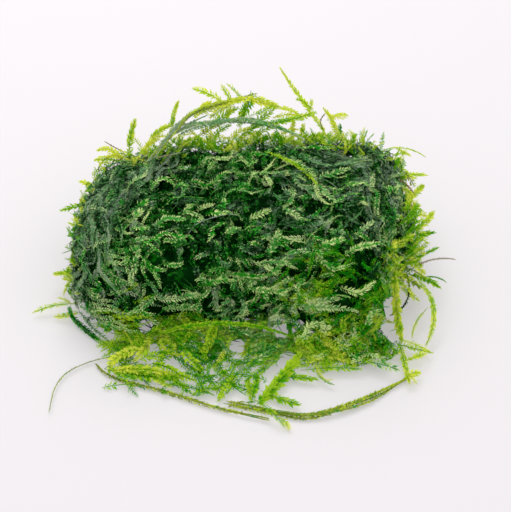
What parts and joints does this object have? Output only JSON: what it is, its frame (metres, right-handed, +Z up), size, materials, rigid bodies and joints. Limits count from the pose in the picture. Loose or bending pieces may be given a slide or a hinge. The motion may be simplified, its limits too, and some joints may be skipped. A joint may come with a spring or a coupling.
{
  "type": "java moss clump",
  "caption": "Loose clump of java moss for an aquarium: a thick mat of dark green shoots with a flat underside and lighter shoots trailing from its edges.",
  "frame": {"origin": "middle of the mat's flat underside, on the surface that it lies on", "axes": "+Z up, +X to the right along the mat's long side, -Y towards the side with the trailing ferns"},
  "size_m": [0.1091, 0.1025, 0.0364],
  "materials": {
    "matted_moss": "wet, dark green, matted leafy shoots",
    "fresh_shoots": "satin, translucent lime green leaves",
    "green_shoots": "satin, mid green leaves",
    "dark_stems": "wet, near-black green stem",
    "olive_stems": "satin, bare olive stem",
    "brown_tips": "dull, dry brown"
  },
  "bodies": {
    "root": {"moss_mat": "matted_moss", "back_tall_shoot": "fresh_shoots", "back_tall_twig": "fresh_shoots", "back_cross_shoot": "fresh_shoots", "spray_left_tip": "fresh_shoots", "spray_middle_tip": "fresh_shoots", "spray_right_tip": "fresh_shoots", "spray_branch": "fresh_shoots", "spray_branch_end": "fresh_shoots", "spray_hanging_left": "fresh_shoots", "spray_hanging_middle": "fresh_shoots", "spray_short": "fresh_shoots", "rim_upright_left": "fresh_shoots", "rim_upright_middle": "fresh_shoots", "rim_yellow_shoot": "fresh_shoots", "rim_yellow_twig": "fresh_shoots", "left_back_tip": "fresh_shoots", "left_yellow_tuft": "fresh_shoots", "left_edge_tip": "fresh_shoots", "left_front_frond": "fresh_shoots", "right_back_shoot": "fresh_shoots", "right_upper_tip": "fresh_shoots", "right_upper_hook": "fresh_shoots", "right_middle_frond": "fresh_shoots", "right_loop_shoot": "fresh_shoots", "right_hanging_frond": "fresh_shoots", "right_trailing_frond": "fresh_shoots", "right_trailing_branch": "fresh_shoots", "right_thin_shoot": "fresh_shoots", "left_middle_tip": "green_shoots", "right_lower_frond": "green_shoots", "right_low_frond": "green_shoots", "right_olive_tip": "green_shoots", "front_main_fern": "green_shoots", "front_main_right": "green_shoots", "front_main_low": "green_shoots", "front_main_tip": "green_shoots", "front_main_left": "green_shoots", "front_lime_fern": "green_shoots", "front_hook_fern": "green_shoots", "front_broad_fern": "green_shoots", "front_rising_fern": "green_shoots", "front_dark_fern": "green_shoots", "front_corner_fern": "green_shoots", "front_return_fern": "green_shoots", "front_low_fern": "green_shoots", "front_arch_stem": "olive_stems", "top_bright_shoot": "green_shoots", "right_dark_stem": "dark_stems", "left_brown_tip": "brown_tips", "right_brown_twig": "brown_tips", "top_bare_twig": "brown_tips", "back_arch_upper": "olive_stems", "front_loop_left": "olive_stems", "front_loop_right": "olive_stems", "left_whisker": "olive_stems", "back_arch_lower": "dark_stems", "left_runner_outer": "dark_stems"}
  },
  "joints": []
}
